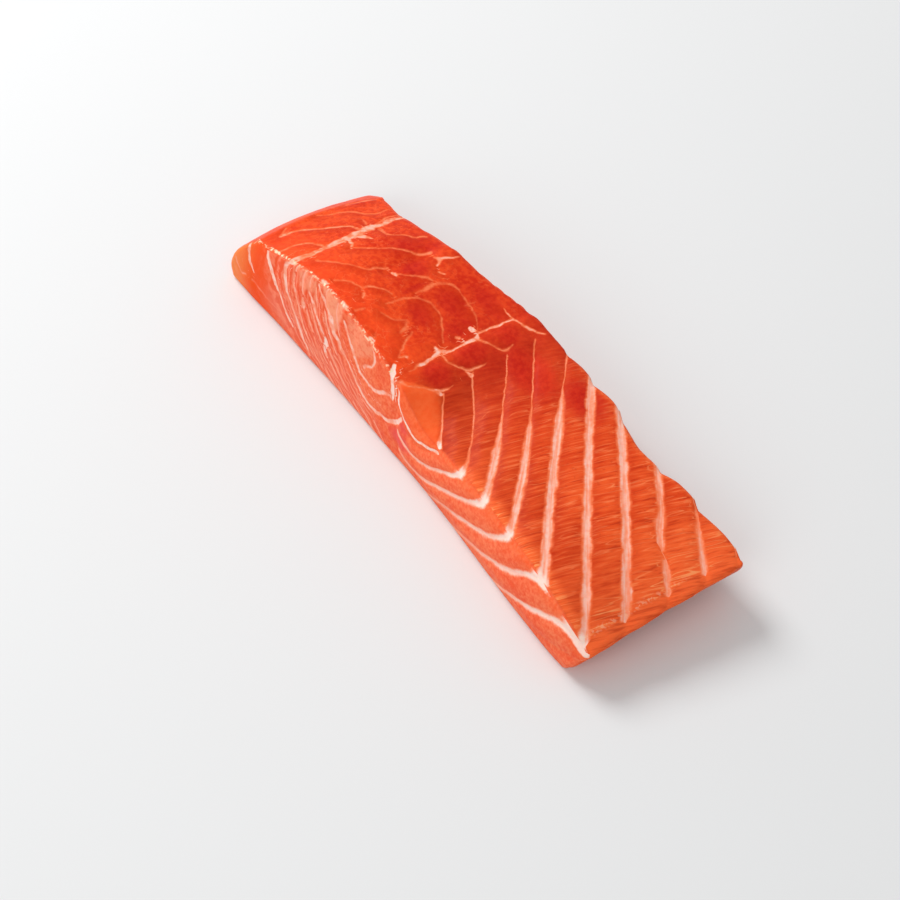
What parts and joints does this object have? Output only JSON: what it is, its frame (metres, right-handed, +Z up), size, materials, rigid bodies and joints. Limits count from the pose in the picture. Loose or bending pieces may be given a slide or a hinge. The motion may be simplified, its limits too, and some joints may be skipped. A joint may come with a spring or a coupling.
{
  "type": "raw salmon fillet portion",
  "caption": "Skinless raw salmon portion cut across the side: a long block with white lines between its muscle layers, round at the back and thin at the belly.",
  "frame": {"origin": "centre of the bounding box, at its underside, where the portion rests", "axes": "+X from the thick back end to the thin belly end, +Y along the fish from the knife cut that shows to the hidden one, +Z up out of the flesh side"},
  "size_m": [0.1768, 0.055, 0.0304],
  "materials": {
    "salmon_flesh": "moist raw flesh with white fat lines"
  },
  "bodies": {
    "root": {"salmon_fillet": "salmon_flesh"}
  },
  "joints": []
}
